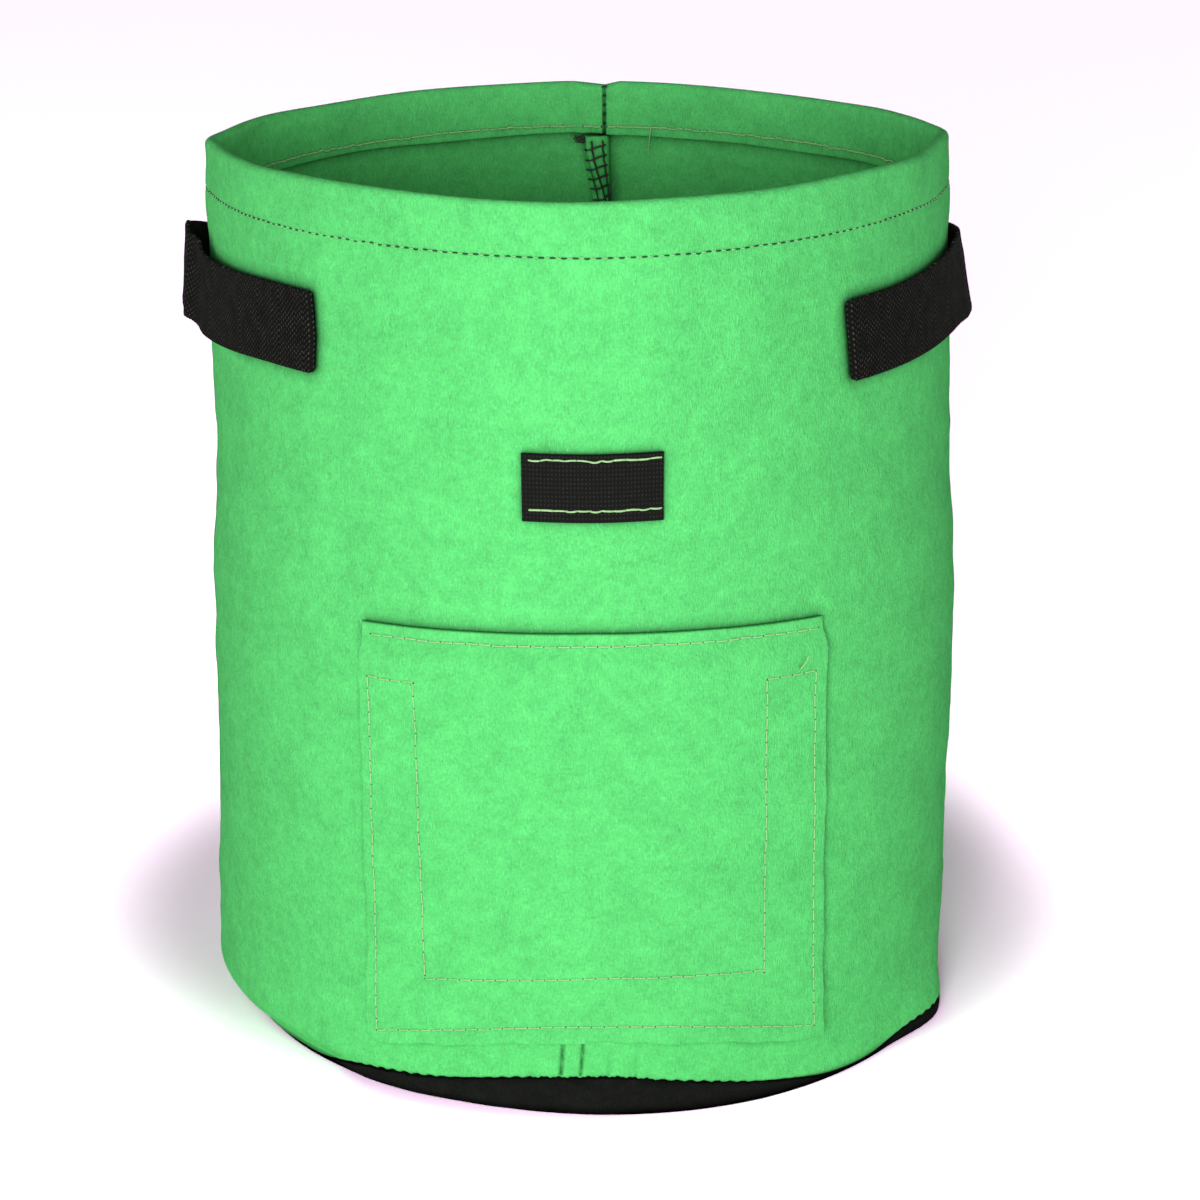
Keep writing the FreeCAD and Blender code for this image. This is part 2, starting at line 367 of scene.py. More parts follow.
def sewn_row(points, normals, pitch, thick=0.27, lift=0.16, wander=0.12, seed=0, fill=1.0,
             marks=1.5):
    """Stitches along a path on a surface, and dark dots of painted shade at the needle holes between
    them.

    fill is the share of the pitch that a stitch covers beyond half of it, and marks is the
    size of a dot of painted shade at a needle hole, in thicknesses of the thread.
    """
    rng = np.random.default_rng(seed)
    spots, ups = resample(np.asarray(points), np.asarray(normals), pitch)
    aside = np.cross(ups, np.gradient(spots, axis=0))
    aside /= np.linalg.norm(aside, axis=1)[:, None] + 1e-12
    spots = spots + aside * rng.normal(0, wander * 0.5, len(spots))[:, None] * MM
    threads, holes = [], []
    t = np.array([0.0, 0.07, 0.25, 0.5, 0.75, 0.93, 1.0])
    hump = np.array([-0.5, -0.1, 0.8, 1.0, 0.8, -0.1, -0.5])
    reach = 0.5 + 0.5 * fill
    ends = (1 - reach) / 2
    u = (ends + t * (1 - 2 * ends))[:, None]
    for k in range(len(spots) - 1):
        path = spots[k] * (1 - u) + spots[k + 1] * u
        up = ups[k] * (1 - u) + ups[k + 1] * u
        height = np.where(hump > 0, hump * lift * rng.uniform(0.7, 1.3), hump * 0.8)
        sway = rng.normal(0, wander) * np.sin(math.pi * t)
        path = path + up * (height * MM)[:, None] + aside[k] * (sway * MM)[:, None]
        threads.append(tube(path, thick * rng.uniform(0.85, 1.12), 6))
    for k in range(len(spots) if marks else 0):
        size = thick * marks * rng.uniform(0.83, 1.17)
        holes.append(dot(spots[k], ups[k], size, 0.05))
    return threads, holes


def radial(angle):
    """Unit vectors that point away from the axis."""
    turn = np.radians(angle)
    return np.stack([np.sin(turn), -np.cos(turn), 0 * turn], -1)


# Materials

def new_material(name):
    """Empty material: itself, its node tree and its shader."""
    material = bpy.data.materials.new(name)
    material.use_nodes = True
    tree = material.node_tree
    tree.nodes.clear()
    output = tree.nodes.new("ShaderNodeOutputMaterial")
    shader = tree.nodes.new("ShaderNodeBsdfPrincipled")
    tree.links.new(shader.outputs[0], output.inputs["Surface"])
    return material, tree, shader


def node(tree, kind, inputs=None, **settings):
    """New node with its inputs set to values or linked to sockets."""
    made = tree.nodes.new(kind)
    for key, value in settings.items():
        setattr(made, key, value)
    for key, value in (inputs or {}).items():
        if isinstance(value, bpy.types.NodeSocket):
            tree.links.new(value, made.inputs[key])
        else:
            made.inputs[key].default_value = value
    return made


def maths(tree, operation, *values):
    return node(tree, "ShaderNodeMath", dict(enumerate(values)), operation=operation).outputs[0]


def noise(tree, vector, scale, detail=2.0, rough=0.5):
    made = node(tree, "ShaderNodeTexNoise",
                {"Vector": vector, "Scale": scale, "Detail": detail, "Roughness": rough})
    return made.outputs[0]


def stretched(tree, vector, turn, scale):
    """Coordinates turned in the plane of the cloth and scaled along each way."""
    made = node(tree, "ShaderNodeMapping",
                {"Vector": vector, "Rotation": (0, 0, math.radians(turn)), "Scale": scale})
    return made.outputs[0]


def scaled_colour(tree, colour, amount):
    made = node(tree, "ShaderNodeVectorMath", {0: colour, "Scale": amount}, operation="SCALE")
    return made.outputs[0]


def centred(tree, value, strength):
    """(value - 0.5) * strength"""
    return maths(tree, "MULTIPLY", maths(tree, "SUBTRACT", value, 0.5), strength)


def fabric_material(name):
    """Empty material, and the fabric coordinates of the mesh that wears it."""
    material, tree, shader = new_material(name)
    cloth = node(tree, "ShaderNodeAttribute", attribute_name="cloth").outputs["Vector"]
    return material, tree, shader, cloth


def blended(tree, amount, colour, other):
    """Colour between two others, by an amount from 0 to 1."""
    return node(tree, "ShaderNodeMix", {0: amount, 6: colour, 7: (*other, 1)},
                data_type="RGBA", clamp_factor=True).outputs[2]


def wave(tree, value, length):
    """Sine of a distance, one turn for each length in metres."""
    return maths(tree, "SINE", maths(tree, "MULTIPLY", value, 2 * math.pi / length))


def half_wave(tree, value):
    """A wave between -1 and 1, moved to between 0 and 1."""
    return maths(tree, "MULTIPLY_ADD", value, 0.5, 0.5)


def dress(tree, shader, colour, height, strength, distance, roughness):
    """Gives a shader its colour, its relief and how matt it is."""
    tree.links.new(colour, shader.inputs["Base Color"])
    rise = node(tree, "ShaderNodeBump",
                {"Height": height, "Strength": strength, "Distance": distance})
    tree.links.new(rise.outputs[0], shader.inputs["Normal"])
    shader.inputs["Roughness"].default_value = roughness


def felt(name, colour, pale, fibre=0.85, mottle=0.4, sheen=0.03, relief=0.9):
    """Needle-punched felt: short fibres that lie every way, over a mottled ground, with painted shade
    in its crevices.
    """
    material, tree, shader, cloth = fabric_material(name)
    bend = node(tree, "ShaderNodeTexNoise", {"Vector": cloth, "Scale": 90.0, "Detail": 2.0})
    bend = scaled_colour(tree, bend.outputs[1], 0.004)
    lying = node(tree, "ShaderNodeVectorMath", {0: cloth, 1: bend}, operation="ADD").outputs[0]
    upright = noise(tree, stretched(tree, lying, 24, (2300, 330, 1)), 1.0, 2.0, 0.6)
    leaning = noise(tree, stretched(tree, lying, -47, (2200, 380, 1)), 1.0, 2.0, 0.6)
    flat = noise(tree, stretched(tree, lying, 88, (2600, 420, 1)), 1.0, 2.0, 0.6)
    patch = noise(tree, cloth, 70.0, 2.0)
    mixed = node(tree, "ShaderNodeMix", {0: maths(tree, "MULTIPLY_ADD", patch, 3.0, -1.0),
                                         2: upright, 3: leaning}, clamp_factor=True).outputs[0]
    fibres = node(tree, "ShaderNodeMix", {0: 0.3, 2: mixed, 3: flat}).outputs[0]
    grain = noise(tree, cloth, 900.0, 3.0, 0.65)
    clouds = noise(tree, cloth, 48.0, 3.0, 0.6)
    tufts = noise(tree, cloth, 210.0, 3.0, 0.6)
    light = maths(tree, "ADD", centred(tree, fibres, fibre), centred(tree, clouds, mottle))
    light = maths(tree, "ADD", light, centred(tree, tufts, 1.1 * mottle))
    light = maths(tree, "ADD", light, centred(tree, grain, 0.6 * fibre))
    # Painted shade: the colour darkens where other surfaces are near, in crevices, under the flap's
    # edges, along seams and stitches and beside the handles.
    painted_crevice_shade = node(tree, "ShaderNodeAmbientOcclusion", {"Distance": 0.006}, samples=6).outputs["AO"]
    painted_crevice_shade = maths(tree, "POWER", painted_crevice_shade, 1.7)
    shade = maths(tree, "MULTIPLY", maths(tree, "ADD", light, 1.0), painted_crevice_shade)
    toned = scaled_colour(tree, colour, shade)
    ridge = maths(tree, "MULTIPLY_ADD", fibres, 6.0, -3.45)
    final = blended(tree, maths(tree, "MULTIPLY", ridge, 0.8), toned, pale)
    height = maths(tree, "ADD", fibres, maths(tree, "MULTIPLY", grain, 0.5))
    height = maths(tree, "ADD", height, maths(tree, "MULTIPLY", tufts, 0.9))
    dress(tree, shader, final, height, relief, 0.0007, 0.95)
    shader.inputs["Specular IOR Level"].default_value = 0.03
    shader.inputs["Sheen Weight"].default_value = sheen
    shader.inputs["Sheen Roughness"].default_value = 0.45
    shader.inputs["Sheen Tint"].default_value = (*pale, 1)
    return material


def webbing_material(name, colour, painted_glint):
    """Woven strap: slanting ribs that turn back in stripes, and painted highlights where its threads
    would catch light.
    """
    material, tree, shader, cloth = fabric_material(name)
    parts = node(tree, "ShaderNodeSeparateXYZ", {0: cloth})
    along, across = parts.outputs[0], parts.outputs[1]
    zigzag = maths(tree, "PINGPONG", across, 0.0052)
    slope = maths(tree, "ADD", along, maths(tree, "MULTIPLY", zigzag, 0.9))
    ribs = half_wave(tree, wave(tree, slope, 0.0021))
    warp = half_wave(tree, wave(tree, across, 0.0012))
    both = maths(tree, "MULTIPLY", ribs, warp)
    # Painted highlight: a paler colour on the tops of the ribs, in patches, where the threads would
    # catch light.
    painted_shine = maths(tree, "POWER", both, 4.0)
    glint_patches = noise(tree, cloth, 160.0, 3.0)
    painted_shine = maths(tree, "MULTIPLY", painted_shine, maths(tree, "MULTIPLY_ADD", glint_patches, 3.2, -0.85))
    final = blended(tree, painted_shine, (*colour, 1), painted_glint)
    fine = noise(tree, cloth, 1400.0, 2.0)
    height = maths(tree, "ADD", both, maths(tree, "MULTIPLY", fine, 0.35))
    dress(tree, shader, final, height, 0.8, 0.0004, 0.8)
    shader.inputs["Specular IOR Level"].default_value = 0.05
    return material


def tape_material(name, colour, painted_glint, hooks):
    """Hook tape with rows of fine stiff hooks, or loop tape with brushed loops, and painted highlights
    where they would catch light.
    """
    material, tree, shader, cloth = fabric_material(name)
    if hooks:
        parts = node(tree, "ShaderNodeSeparateXYZ", {0: cloth})
        row = half_wave(tree, wave(tree, parts.outputs[0], 0.0013))
        column = half_wave(tree, wave(tree, parts.outputs[1], 0.0016))
        form = maths(tree, "MULTIPLY", row, column)
    else:
        form = noise(tree, cloth, 700.0, 4.0, 0.7)
    fine = noise(tree, cloth, 1700.0, 2.0, 0.6)
    patch = noise(tree, cloth, 240.0, 3.0)
    # Painted highlight: a paler colour, in patches, where the hooks or loops would catch light.
    painted_shine = maths(tree, "MULTIPLY", maths(tree, "POWER", maths(tree, "MULTIPLY", form, fine), 1.6),
                  maths(tree, "MULTIPLY", patch, 1.6))
    final = blended(tree, painted_shine, (*colour, 1), painted_glint)
    height = maths(tree, "ADD", form, maths(tree, "MULTIPLY", fine, 0.6))
    dress(tree, shader, final, height, 0.7, 0.0005, 0.8 if hooks else 0.95)
    shader.inputs["Specular IOR Level"].default_value = 0.05
    return material


def thread_material(name, colour, dark):
    """Twisted thread: slanting strands along its length."""
    material, tree, shader, cloth = fabric_material(name)
    parts = node(tree, "ShaderNodeSeparateXYZ", {0: cloth})
    slant = maths(tree, "ADD", parts.outputs[0], parts.outputs[1])
    twist = maths(tree, "MULTIPLY_ADD", wave(tree, slant, 0.0007), 0.35, 0.35)
    fuzz = noise(tree, cloth, 2500.0, 2.0)
    final = blended(tree, maths(tree, "MULTIPLY", twist, fuzz), (*colour, 1), dark)
    dress(tree, shader, final, twist, 0.5, 0.0001, 0.6)
    return material


def plain_material(name, colour, roughness):
    """Even colour with fine dark spots."""
    material, tree, shader = new_material(name)
    spots = noise(tree, node(tree, "ShaderNodeTexCoord").outputs["Object"], 900.0, 2.0)
    toned = scaled_colour(tree, colour, maths(tree, "MULTIPLY_ADD", spots, 0.6, 0.7))
    tree.links.new(toned, shader.inputs["Base Color"])
    shader.inputs["Roughness"].default_value = roughness
    return material


GREEN = (0.140, 0.79, 0.215)
PALE_GREEN = (0.31, 0.93, 0.40)
green_felt = felt("green_felt", GREEN, PALE_GREEN)
base_felt = felt("black_base_felt", (0.0115, 0.0120, 0.0105), (0.03, 0.032, 0.03),
                 fibre=0.9, mottle=0.7, sheen=0.02)
webbing = webbing_material("black_webbing", (0.0068, 0.0068, 0.0058), (0.13, 0.125, 0.11))
hook_tape = tape_material("black_hook_tape", (0.0105, 0.011, 0.0100), (0.09, 0.095, 0.085),
                          hooks=True)
loop_tape = tape_material("black_loop_tape", (0.010, 0.010, 0.010), (0.06, 0.06, 0.06),
                          hooks=False)
green_thread = thread_material("green_thread", (0.56, 0.90, 0.42), (0.14, 0.40, 0.12))
black_thread = thread_material("black_thread", (0.008, 0.008, 0.008), (0.03, 0.03, 0.03))
# Painted shade: dark green for the needle holes and for the hem's dark row of stitches.
painted_stitch_shade = plain_material("painted_stitch_shade", (0.014, 0.075, 0.024), 0.95)


# Wall

def seam_gap(angle):
    """Distance along the wall from the back seam, in mm: more than 0 towards -X."""
    return from_angle(angle, SEAM) * math.radians(1) * RADIUS


def seam_groove(angle):
    """Depth of the groove that the two bends of the felt leave outside the back seam."""
    return 1.7 * np.clip(1 - np.abs(seam_gap(angle)) / 2.0, 0, 1) ** 1.6


CREASES = ((-5.6, 42, 1.2, 0.55), (-2.7, 42, 1.1, 0.5), (1.4, 36, 0.5, 0.7), (5.4, 34, 0.5, 0.8),
           (-9.5, 27, 0.5, 1.3), (12.5, 26, 0.4, 1.2))


def crease(angle, height):
    """Upright creases in the wall under the flap."""
    total = 0
    for where, top, depth, width in CREASES:
        lean = 0.03 * (height - 20)
        across = bump(from_angle(angle, where + lean), 0, width * 0.5)
        total = total + depth * across * (1 - smooth(top - 12, top + 4, height))
    return total


def hem_bulge(angle, height):
    """How far the hem band stands in over the turned seam allowances."""
    gap = seam_gap(angle)
    folded = smooth(0.0, 1.2, gap) * (1 - smooth(10.2, 11.6, gap))
    short = 0.8 * smooth(0.0, 1.0, -gap) * (1 - smooth(5.0, 8.0, -gap))
    lower = 0.75 + 0.45 * (1 - smooth(326, 350, height))
    fans = 0.35 * bump(gap, 9 + 0.25 * (height - 326), 1.1) + 0.3 * bump(gap, -9, 1.3)
    fans = fans + 0.3 * bump(gap, -33 + 0.3 * (340 - height), 1.6)
    soft = 0.3 * uneven(angle, height, 2, 11, 30.0)
    return (1.9 * folded + short) * lower - fans + soft


def wall_angles():
    """Columns of the wall, closer at the back seam and at the creases."""
    angles = set(np.round(np.arange(-180, 180, 0.6), 4))
    angles |= set(np.round(SEAM + np.arange(-8, 9) * 0.12, 4))
    angles |= set(np.round(np.arange(-10.2, 8.4, 0.2), 4))
    return np.array(sorted(angles))


def wall_profile(angles):
    """Rows of the closed section: depth from the outer face, height, and distance along."""
    low = lower_edge(angles)
    top = rim_height(angles)
    hem = HEM_EDGE + 0.5 * uneven(angles, 0 * angles, 3, 6) - 0.7 * smooth(0, 1, -seam_gap(angles))
    flat = 0 * angles
    bend = 2.0
    rows = []
    for depth in (10.0, 7.0, 4.5):
        rows.append((flat + depth, low + flat))
    for turn in (0, 25, 50, 75):
        t = math.radians(turn)
        rows.append((flat + bend * (1 - math.sin(t)), low + bend * (1 - math.cos(t))))
    for share in np.linspace(0, 1, 42)[:-1]:
        rows.append((flat, (low + bend) * (1 - share) + 57.0 * share))
    middle = np.concatenate([[57.0], np.linspace(WINDOW_LOW, WINDOW_HIGH, 60), [180.0]])
    first_middle = len(rows)
    for height in middle:
        rows.append((flat, flat + height))
    for share in np.linspace(0, 1, 92)[1:]:
        rows.append((flat, 180.0 * (1 - share) + (top - FOLD) * share))
    for turn in np.linspace(0, 180, 13)[1:]:
        t = math.radians(turn)
        rows.append((FOLD * (1 - math.cos(t)) + flat, top - FOLD + FOLD * math.sin(t)))
    for share in np.linspace(0, 1, 22)[1:]:
        rows.append((HEM_FELT + flat, (top - FOLD) * (1 - share) + (hem + 0.7) * share))
    rows.append((HEM_FELT - 0.25 + flat, hem + 0.2))
    rows.append((HEM_FELT - 0.9 + flat, hem))
    rows.append((HEM_FELT - 1.9 + flat, hem))
    rows.append((HEM_FELT - 2.4 + flat, hem + 0.3))
    rows.append((HEM_FELT - 2.55 + flat, hem + 1.6))
    rows.append((FELT + 0.05 + flat, hem + 1.6))
    for share in np.linspace(0, 1, 62)[:-1]:
        rows.append((FELT + flat, hem * (1 - share) + 180.0 * share))
    last_middle = len(rows)
    for height in middle[::-1]:
        rows.append((FELT + flat, flat + height))
    for share in np.linspace(0, 1, 22)[1:]:
        rows.append((FELT + flat, 57.0 * (1 - share) + (low + FELT) * share))
    for depth in (5.0, 10.0):
        rows.append((flat + depth, low + FELT))
    depths = np.array([row[0] for row in rows])
    heights = np.array([row[1] for row in rows])
    return depths, heights, first_middle, last_middle, len(middle)


def make_wall():
    angles = wall_angles()
    depths, heights, out_first, in_first, count = wall_profile(angles)
    grid = np.broadcast_to(angles, depths.shape)
    radius = wall_radius(grid, heights)
    outer = depths < 0.01
    row_dent = 0.45 * bump(heights, HEM_ROW, 0.9)
    band = (depths > HEM_FELT - 2.6) & (heights > 325)
    depths = depths + np.where(outer, seam_groove(grid) + crease(grid, heights) + row_dent, 0)
    depths = depths + np.where(band, hem_bulge(grid, heights) + 0.3 * row_dent, 0)
    inner = (np.abs(depths - FELT) < 0.1) & (heights < 326)
    mark = 0.5 * bump(seam_gap(grid), 0, 1.2)
    depths = depths - np.where(inner, mark, 0)
    points = place(radius - depths, grid, heights)
    rows, columns = depths.shape
    steps = np.linalg.norm(np.diff(points, axis=0), axis=2)
    along = np.concatenate([np.zeros((1, columns)), np.cumsum(steps, axis=0)])
    along = along.mean(axis=1)
    arc = np.radians(np.append(angles, angles[0] + 360)) * RADIUS * MM
    close = float(np.linalg.norm(points[0] - points[-1], axis=1).mean())
    along = np.append(along, along[-1] + close)
    in_window = (angles >= -WINDOW - 0.01) & (angles < WINDOW - 0.01)
    faces, cloth = [], []
    for i in range(rows):
        k = (i + 1) % rows
        out_window = out_first + 1 <= i < out_first + count - 2
        back_window = in_first + 1 <= i < in_first + count - 2
        hole = out_window or back_window
        for j in range(columns):
            if hole and in_window[j]:
                continue
            m = (j + 1) % columns
            faces.append((i * columns + j, i * columns + m, k * columns + m, k * columns + j))
            cloth += [(arc[j], along[i], 0), (arc[j + 1], along[i], 0),
                      (arc[j + 1], along[i + 1], 0), (arc[j], along[i + 1], 0)]
    hole_columns = np.flatnonzero(in_window)
    low_out = out_first + 1
    high_out = out_first + count - 2
    low_in = in_first + count - 2
    high_in = in_first + 1
    for j in hole_columns:
        m = j + 1
        faces.append((low_out * columns + j, low_out * columns + m,
                      low_in * columns + m, low_in * columns + j))
        faces.append((high_out * columns + m, high_out * columns + j,
                      high_in * columns + j, high_in * columns + m))
        for level in (0, 0.0025):
            cloth += [(arc[j], level, 0), (arc[m], level, 0),
                      (arc[m], level + 0.0025, 0), (arc[j], level + 0.0025, 0)]
    for side, j in ((1, hole_columns[0]), (-1, hole_columns[-1] + 1)):
        for step in range(high_out - low_out):
            a = (low_out + step) * columns + j
            b = (low_in - step) * columns + j
            c = (low_in - step - 1) * columns + j
            d = (low_out + step + 1) * columns + j
            loop = [a, b, c, d]
            faces.append(tuple(loop if side > 0 else loop[::-1]))
            z = along[low_out + step]
            quad = [(0, z, 0), (0.0025, z, 0), (0.0025, z + 0.002, 0), (0, z + 0.002, 0)]
            cloth += quad if side > 0 else quad[::-1]
    obj = piece("wall_sheet", points, faces, cloth, corners=True)
    return finished(obj, green_felt, "root", "green_felt", "wall_panel")


# Back seam allowances

def fin_lean(height):
    """Angle by which the seam allowances lie over towards -X, in degrees."""
    sway = 6 * np.sin(height / 47.0) * (1 - smooth(250, 300, height))
    return 12 + 62 * smooth(292, 326, height) + sway


def fin_point(height, reach, offset):
    """Point on the seam allowances, reach from the seam and offset to their +X face."""
    height, reach, offset = np.broadcast_arrays(
        np.asarray(height, float), np.asarray(reach, float), np.asarray(offset, float))
    lean = np.radians(fin_lean(height))
    share = np.clip(reach / FIN_BEND, 0, 1)
    # a bend that turns evenly over its length, in 8 steps, and then a straight run
    steps = np.linspace(0, 1, 9)[1:] - 0.0625
    inward = 0
    aside = 0
    for step in steps:
        part = lean * step * share
        inward = inward + np.cos(part) * share * FIN_BEND / 8
        aside = aside + np.sin(part) * share * FIN_BEND / 8
    rest = np.clip(reach - FIN_BEND, 0, None)
    turn = lean * share
    inward = inward + np.cos(turn) * rest
    aside = aside + np.sin(turn) * rest
    inward = inward + np.sin(turn) * offset
    aside = aside - np.cos(turn) * offset
    radius = wall_radius(SEAM, height) - FELT - inward + 0.4
    away = radial(SEAM)
    along = np.array([np.cos(math.radians(SEAM)), np.sin(math.radians(SEAM)), 0])
    spot = away * radius[..., None] + along * aside[..., None]
    spot[..., 2] = height
    return spot * MM


def fin_normal(height, reach):
    """Normal of the seam allowances' -X face, reach from the seam."""
    bent = np.clip(np.asarray(reach, float) / FIN_BEND, 0, 1)
    lean = np.radians(fin_lean(np.asarray(height, float))) * bent
    away = radial(SEAM)
    along = np.array([np.cos(math.radians(SEAM)), np.sin(math.radians(SEAM)), 0])
    return -away * np.sin(lean)[..., None] - along * np.cos(lean)[..., None]


def make_fin():
    parts = []
    for side in (-1, 1):
        def surface(a, d, side=side):
            height = HEM_EDGE - 0.5 - d
            uneven_edge = 0.35 * np.sin(height / 5.1 + side) * smooth(8, 11, a)
            points = fin_point(height, a + uneven_edge, side * 1.28)
            return points, fin_normal(height, a)
        parts.append(sheet_mesh(surface, spread(0, FIN_DEPTH, 0.9, 0.7),
                                spread(0, 309.0, 2.2, 0.7), 2.35, 0.7))
    obj = piece("back_seam_allowances", *join(parts))
    return finished(obj, green_felt, "root", "green_felt")


# Base

def make_base():
    """Black felt disc, turned up at its rim and turned in under the green felt."""
    angles = np.arange(-180, 180, 1.0)
    low = lower_edge(angles)
    flat = 0 * angles
    corner = np.interp(angles, *TUCK.T)
    rise = np.minimum(corner, np.maximum(low - 0.9, 0.5))
    rows = []
    for radius in (0.02, 0.1, 0.25, 0.45, 0.65, 0.8, 0.9, 0.96):
        rows.append((radius * (RADIUS - 8), flat))
    rows.append((RADIUS - corner, flat))
    edge = wall_radius(angles, low) - 0.35 - 0.5 * bump(angles, 0, 40)
    edge = edge - 2.4 * (1 - smooth(1.2, 3, low))
    edge = edge + 0.5 * uneven(angles, flat, 5, 19) * smooth(4, 9, low)
    for turn in (18, 36, 54, 72, 90):
        t = math.radians(turn)
        rows.append((edge - corner + corner * math.sin(t), rise * (1 - math.cos(t))))
    rows.append((edge + 0.2, (rise + low) / 2))
    rows.append((edge, np.maximum(low - 0.7, 0.2)))
    rows.append((edge - 0.8, np.maximum(low - 0.12, 0.3)))
    rows.append((edge - 10.0, np.maximum(low - 0.12, 0.3)))
    rows.append((edge - 10.0, np.maximum(low - FELT, 0.15)))
    rows.append((edge - FELT, np.maximum(low - FELT - 0.05, 0.1)))
    rows.append((edge - 5.0, flat + 3.4))
    rows.append((edge - 8.0, flat + FELT))
    for radius in (0.96, 0.9, 0.8, 0.65, 0.45, 0.25, 0.1, 0.02):
        wrinkle = 0.5 * uneven(angles, 300 * radius + flat, 6, 3) * smooth(0.98, 0.85, radius)
        rows.append((radius * (RADIUS - 10), FELT + 0.3 + wrinkle * smooth(0.05, 0.3, radius)))
    radii = np.array([np.broadcast_to(row[0], angles.shape) for row in rows])
    heights = np.array([np.broadcast_to(row[1], angles.shape) for row in rows])
    grid = np.broadcast_to(angles, radii.shape)
    points = place(radii, grid, heights)
    count, columns = radii.shape
    faces = []
    for i in range(count - 1):
        for j in range(columns):
            m = (j + 1) % columns
            above = (i + 1) * columns
            faces.append((i * columns + j, i * columns + m, above + m, above + j))
    faces.append(tuple(range(columns))[::-1])
    faces.append(tuple((count - 1) * columns + j for j in range(columns)))
    cloth = points.copy()
    cloth[..., 1] = points[..., 1] + points[..., 2]
    obj = piece("base_sheet", points, faces, cloth)
    return finished(obj, base_felt, "root", "black_base_felt", "base_panel")


# Flap

FLAP_EDGES = {
    "top": np.array([(-90, 191.8), (-45, 193.2), (0, 194.0), (45, 193.0), (90, 191.2)]),
    "bottom": np.array([(-92, 24.4), (-70, 28.0), (-40, 33.0), (0, 35.3), (40, 31.5),
                        (70, 26.2), (92, 22.8)]),
}


def flap_place(a, d):
    """Angle and height on the flap of a distance across and a distance down."""
    top = np.interp(a, *FLAP_EDGES["top"].T)
    bottom = np.interp(a, *FLAP_EDGES["bottom"].T)
    ripple = 0.35 * np.sin(a / 6.5) + 0.25 * np.sin(a / 2.7 + 1.2)
    share = d / FLAP_LENGTH
    height = top * (1 - share) + (bottom + ripple) * share
    rough = 0.3 * np.sin(height / 9.0) + 0.2 * np.sin(height / 3.1)
    lean = 1.0 * (share - 0.4) * smooth(30, 90, a)
    aside = (rough + lean) * (np.abs(a) / FLAP_HALF) ** 8
    return np.degrees((a + aside) / FLAP_RADIUS) - 0.3, height


def flap_offset(angle, height):
    """Distance from the wall to the flap's inner face."""
    curl = 1.5 * bump(angle, -6, 20) * (1 - smooth(36, 56, height))
    corner = 1.1 * smooth(26, 34, np.abs(angle)) * (1 - smooth(30, 60, height))
    return 0.05 + STAND_OFF * (1 - smooth(178.5, 187.5, height)) + curl + corner


def flap_normal(angle, height):
    step = 1.0
    above = wall_radius(angle, height + step) + flap_offset(angle, height + step)
    below = wall_radius(angle, height - step) + flap_offset(angle, height - step)
    slope = (above - below) / (2 * step)
    normal = radial(angle)
    normal[..., 2] = -slope
    return normal / np.linalg.norm(normal, axis=-1)[..., None]


def flap_surface(a, d):
    angle, height = flap_place(a, d)
    radius = wall_radius(angle, height) + flap_offset(angle, height) + FELT / 2
    return place(radius, angle, height), flap_normal(angle, height)


def make_flap():
    down = np.unique(np.concatenate([spread(0, 22, 0.7, 0.8), spread(22, FLAP_LENGTH, 1.5, 0.8)]))
    mesh = sheet_mesh(flap_surface, spread(-FLAP_HALF, FLAP_HALF, 1.5, 0.8), down, FELT, 0.8)
    obj = piece("flap_sheet", *mesh)
    obj.data.materials.append(green_felt)
    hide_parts("flap_panel", "flap_sewn_edge")
    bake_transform(obj)
    return obj


def band_surface(offset, middle_angle, height, bow=0.0):
    """Surface of a flat tape laid on the wall: distances across and down from its middle."""
    def surface(a, d):
        angle = middle_angle + np.degrees(a / RADIUS)
        z = height - d + bow * (1 - (angle / 32.0) ** 2)
        return place(wall_radius(angle, z) + offset, angle, z), radial(angle)
    return surface


def make_tape(name, offset, middle, width, low, high):
    """Tape whose inner face lies offset from the wall, centred on an angle."""
    thickness = TAPE - 0.04
    top = (low + high) / 2
    half = (high - low) / 2
    bow = 9.5 if middle == 0 else 0.0
    surface = band_surface(offset + thickness / 2, middle, top, bow)
    mesh = sheet_mesh(surface, spread(-width / 2, width / 2, 2.0, 0.5),
                      spread(-half, half, 2.0, 0.5), thickness, 0.5)
    return piece(name, *mesh)


def make_tapes():
    middle = math.degrees((90 - 2.8 - TAPE_WIDTH / 2) / 152.6)
    low, high = 30.8, TAPE_TOP
    inner = 2 * math.radians(23.1) * RADIUS
    sides = {"left": (-middle, TAPE_WIDTH, low, high), "right": (middle, TAPE_WIDTH, low, high),
             "bottom": (0, inner, low, low + TAPE_WIDTH)}
    for place_name, (angle, width, bottom, top) in sides.items():
        name = f"window_loop_tape_{place_name}"
        obj = make_tape(name + "_sheet", 0.02, angle, width, bottom, top)
        finished(obj, loop_tape, "root", "black_loop_tape", name)
        name = f"flap_hook_tape_{place_name}"
        obj = make_tape(name + "_sheet", 1.36, angle, width, bottom, top)
        finished(obj, hook_tape, "flap", "black_hook_tape", name)


def make_keeper():
    surface = band_surface(1.08, KEEPER_ANGLE, KEEPER_LOW + TAPE_WIDTH / 2)
    across = spread(-KEEPER_WIDTH / 2, KEEPER_WIDTH / 2, 1.6, 0.5)
    down = spread(-TAPE_WIDTH / 2, TAPE_WIDTH / 2, 1.6, 0.5)
    mesh = sheet_mesh(surface, across, down, KEEPER_THICKNESS, 0.5)
    obj = piece("hook_keeper_sheet", *mesh)
    return finished(obj, hook_tape, "root", "black_hook_tape", "hook_keeper")


# Handles

